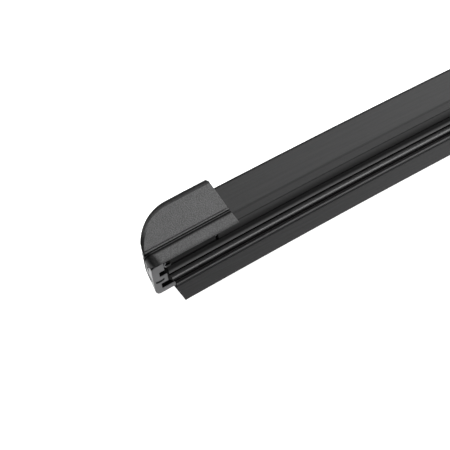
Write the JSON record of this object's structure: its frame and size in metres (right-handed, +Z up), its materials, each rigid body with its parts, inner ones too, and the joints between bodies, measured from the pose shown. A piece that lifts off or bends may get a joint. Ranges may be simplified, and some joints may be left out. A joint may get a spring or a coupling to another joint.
{
  "type": "wiper blade",
  "caption": "Frameless windscreen wiper blade: an asymmetric spoiler over two spring rails, a leaning rubber lip, slotted end clips under moulded caps, and a pivoting adapter for a hook arm.",
  "frame": {"origin": "the middle of the pivot that the arm's hook turns on", "axes": "+X along the blade, +Z up and away from the glass, and -Y towards the viewer's side, where the spoiler's wide face looks"},
  "size_m": [0.4004, 0.0172, 0.0349],
  "materials": {
    "textured_plastic": "fine grained mould texture",
    "smooth_plastic": "smooth, satin",
    "spoiler_plastic": "extruded, matte",
    "spring_steel": "rolled strip, dark coating",
    "wiper_rubber": "moulded, with a glossy head and a matte lip",
    "clamp_steel": "zinc plated"
  },
  "bodies": {
    "adapter": {"hook_adapter": "smooth_plastic"},
    "blade": {"end_cap_left": "textured_plastic", "end_cap_right": "textured_plastic", "end_clip_left": "smooth_plastic", "end_clip_right": "smooth_plastic", "spoiler_left": "spoiler_plastic", "spoiler_right": "spoiler_plastic", "rail_front": "spring_steel", "rail_back": "spring_steel", "wiper_rubber": "wiper_rubber", "rail_clamp": "clamp_steel", "centre_housing": "textured_plastic", "pivot_sleeve": "clamp_steel", "pivot_rivet": "clamp_steel"}
  },
  "joints": [
    {"name": "arm_pivot", "type": "hinge", "parent": "adapter", "child": "blade", "pos_m": [0, 0, 0], "axis": [0, 1, 0], "range_deg": [-8, 60]}
  ]
}
